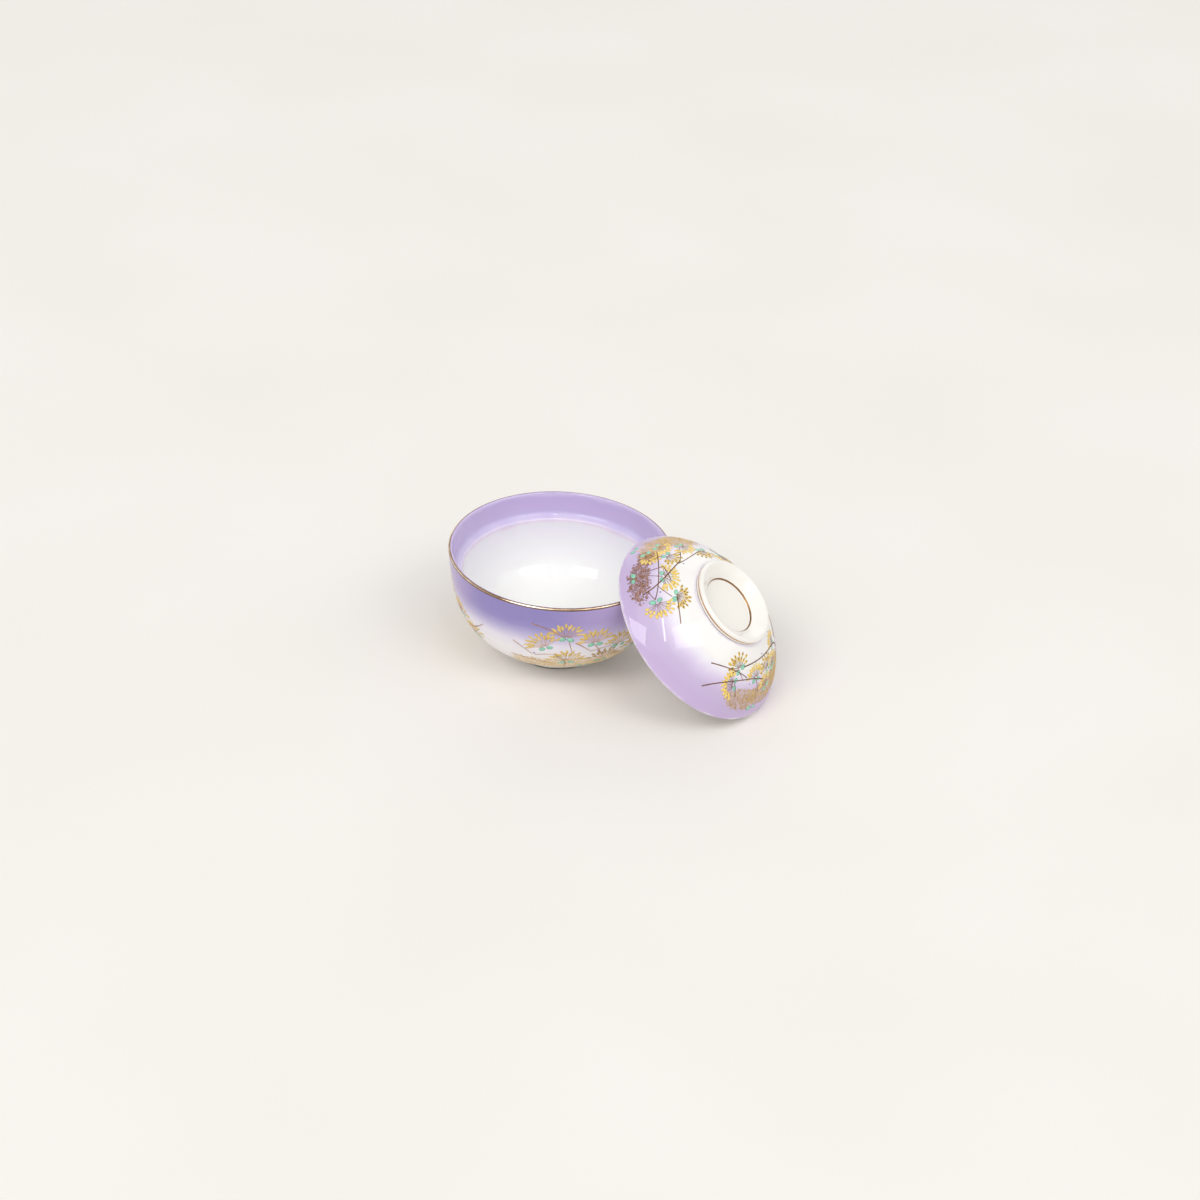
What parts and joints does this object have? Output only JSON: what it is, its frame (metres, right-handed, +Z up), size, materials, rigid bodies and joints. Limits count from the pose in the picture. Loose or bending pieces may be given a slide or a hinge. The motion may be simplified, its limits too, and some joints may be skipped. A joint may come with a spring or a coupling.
{
  "type": "lidded dish",
  "caption": "Round porcelain bowl on a foot ring with an inner seat for its lid, and a domed lid with a ring handle, taken off and leaning on the bowl.",
  "frame": {"origin": "on the bowl's axis, in the plane of the table that the foot ring stands on", "axes": "+Z up along the bowl's axis; +X to the right and +Y away from the viewer in the picture; the lid leans on the +X, -Y side"},
  "size_m": [0.1783, 0.1426, 0.0759],
  "materials": {
    "bowl_glaze": "glossy clear glaze over lilac shading on white porcelain",
    "lid_glaze": "glossy clear glaze over lilac shading on white porcelain",
    "gilding": "fired gold, slightly worn"
  },
  "bodies": {
    "bowl": {"bowl_body": "bowl_glaze", "bowl_lip_gilding": "gilding"},
    "lid": {"lid_body": "lid_glaze", "lid_base_line": "gilding", "lid_upper_line": "gilding", "lid_well_line": "gilding"}
  },
  "joints": [
    {"name": "lid_lift", "type": "slide", "parent": "bowl", "child": "lid", "axis": [0.6152, -0.2461, 0.749], "range_m": [0, 0.09]}
  ]
}
